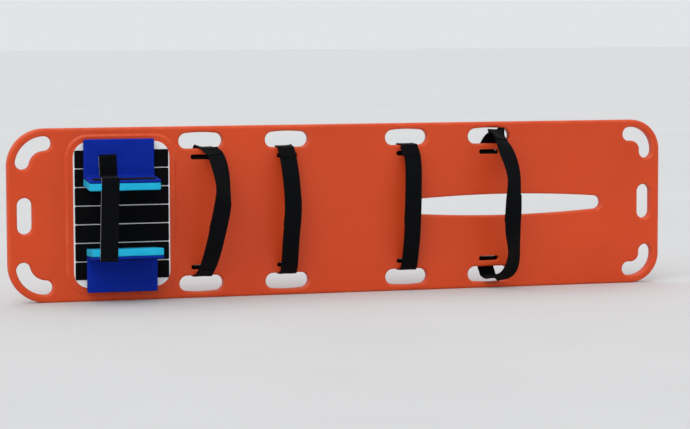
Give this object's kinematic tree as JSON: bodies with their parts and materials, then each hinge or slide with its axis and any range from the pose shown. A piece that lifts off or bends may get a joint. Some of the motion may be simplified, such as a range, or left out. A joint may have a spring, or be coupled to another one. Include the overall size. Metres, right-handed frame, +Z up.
{
  "type": "spine board",
  "caption": "Long orange spine board with hand grips and a leg slot, a head immobiliser of two foam blocks on a hook-tape base, and lapped black body straps.",
  "frame": {"origin": "middle of the flat strip along the board's bottom long edge", "axes": "+X along the board from its head end to its foot end, +Z up across its width, -Y out of the patient side; the board stands on its long edge as in the picture"},
  "size_m": [1.829, 0.1597, 0.457],
  "materials": {
    "orange_shell": "orange rotationally moulded polyethylene, satin, finely pebbled",
    "foam_core": "rigid closed-cell foam, never seen",
    "rod": "pultruded glass-fibre rod, dark grey, never seen",
    "port_plug": "moulded plug in the shell's colour",
    "white_plate": "smooth white plastic sheet",
    "hook_tape": "black hook-and-loop tape, nylon pile on a woven ground",
    "blue_foam": "royal blue vinyl-coated closed-cell foam",
    "cyan_foam": "light blue closed-cell foam pad",
    "webbing": "black woven nylon webbing, ribbed edges, sewn with black thread"
  },
  "bodies": {
    "board": {"board_shell": "orange_shell", "foam_core": "foam_core", "stiffener_rod_upper": "rod", "stiffener_rod_lower": "rod", "port_plug_head": "port_plug", "port_plug_foot": "port_plug", "head_base_plate": "white_plate", "hook_strip_1": "hook_tape", "hook_strip_2": "hook_tape", "hook_strip_3": "hook_tape", "hook_strip_4": "hook_tape", "hook_strip_5": "hook_tape", "hook_strip_6": "hook_tape", "hook_strip_7": "hook_tape", "strap_1_upper_loop": "webbing", "strap_1_lower_loop": "webbing", "strap_2_upper_loop": "webbing", "strap_2_lower_loop": "webbing", "strap_3_upper_loop": "webbing", "strap_3_lower_loop": "webbing", "strap_4_upper_loop": "webbing", "strap_4_lower_loop": "webbing"},
    "upper_block": {"upper_block_foam": "blue_foam", "upper_block_pad": "cyan_foam", "upper_block_hook_patch": "hook_tape", "upper_block_tape": "hook_tape", "head_strap_tail": "webbing"},
    "lower_block": {"lower_block_foam": "blue_foam", "lower_block_pad": "cyan_foam", "lower_block_hook_patch": "hook_tape", "lower_block_tape": "hook_tape"},
    "head_strap": {"head_strap_span": "webbing"},
    "strap_1_upper": {"strap_1_upper_half": "webbing"},
    "strap_1_lower": {"strap_1_lower_half": "webbing"},
    "strap_2_upper": {"strap_2_upper_half": "webbing"},
    "strap_2_lower": {"strap_2_lower_half": "webbing"},
    "strap_3_upper": {"strap_3_upper_half": "webbing"},
    "strap_3_lower": {"strap_3_lower_half": "webbing"},
    "strap_4_upper": {"strap_4_upper_half": "webbing"},
    "strap_4_lower": {"strap_4_lower_half": "webbing"}
  },
  "joints": [
    {"name": "upper_block_slide", "type": "slide", "parent": "board", "child": "upper_block", "axis": [0, 0, 1], "range_m": [-0.03, 0.02]},
    {"name": "lower_block_slide", "type": "slide", "parent": "board", "child": "lower_block", "axis": [0, 0, -1], "range_m": [-0.03, 0.02]},
    {"name": "head_strap_hinge", "type": "hinge", "parent": "upper_block", "child": "head_strap", "pos_m": [-0.662, -0.1262, 0.3247], "axis": [-1, 0, 0], "range_deg": [0, 160]},
    {"name": "strap_1_upper_hinge", "type": "hinge", "parent": "board", "child": "strap_1_upper", "pos_m": [-0.379, -0.02, 0.399], "axis": [-1, 0, 0], "range_deg": [0, 110]},
    {"name": "strap_1_lower_hinge", "type": "hinge", "parent": "board", "child": "strap_1_lower", "pos_m": [-0.397, -0.02, 0.058], "axis": [1, 0, 0], "range_deg": [0, 55]},
    {"name": "strap_2_upper_hinge", "type": "hinge", "parent": "board", "child": "strap_2_upper", "pos_m": [-0.169, -0.02, 0.399], "axis": [-1, 0, 0], "range_deg": [0, 120]},
    {"name": "strap_2_lower_hinge", "type": "hinge", "parent": "board", "child": "strap_2_lower", "pos_m": [-0.163, -0.02, 0.058], "axis": [1, 0, 0], "range_deg": [0, 60]},
    {"name": "strap_3_upper_hinge", "type": "hinge", "parent": "board", "child": "strap_3_upper", "pos_m": [0.178, -0.02, 0.399], "axis": [-1, 0, 0], "range_deg": [0, 125]},
    {"name": "strap_3_lower_hinge", "type": "hinge", "parent": "board", "child": "strap_3_lower", "pos_m": [0.175, -0.02, 0.058], "axis": [1, 0, 0], "range_deg": [0, 62.5]},
    {"name": "strap_4_upper_hinge", "type": "hinge", "parent": "board", "child": "strap_4_upper", "pos_m": [0.418, -0.0285, 0.43], "axis": [-1, 0, 0], "range_deg": [0, 110]},
    {"name": "strap_4_lower_hinge", "type": "hinge", "parent": "board", "child": "strap_4_lower", "pos_m": [0.416, -0.0285, 0.027], "axis": [1, 0, 0], "range_deg": [0, 55]}
  ],
  "couplings": [
    {"joint": "strap_1_lower_hinge", "follows": "strap_1_upper_hinge", "ratio": 0.5},
    {"joint": "strap_2_lower_hinge", "follows": "strap_2_upper_hinge", "ratio": 0.5},
    {"joint": "strap_3_lower_hinge", "follows": "strap_3_upper_hinge", "ratio": 0.5},
    {"joint": "strap_4_lower_hinge", "follows": "strap_4_upper_hinge", "ratio": 0.5}
  ]
}
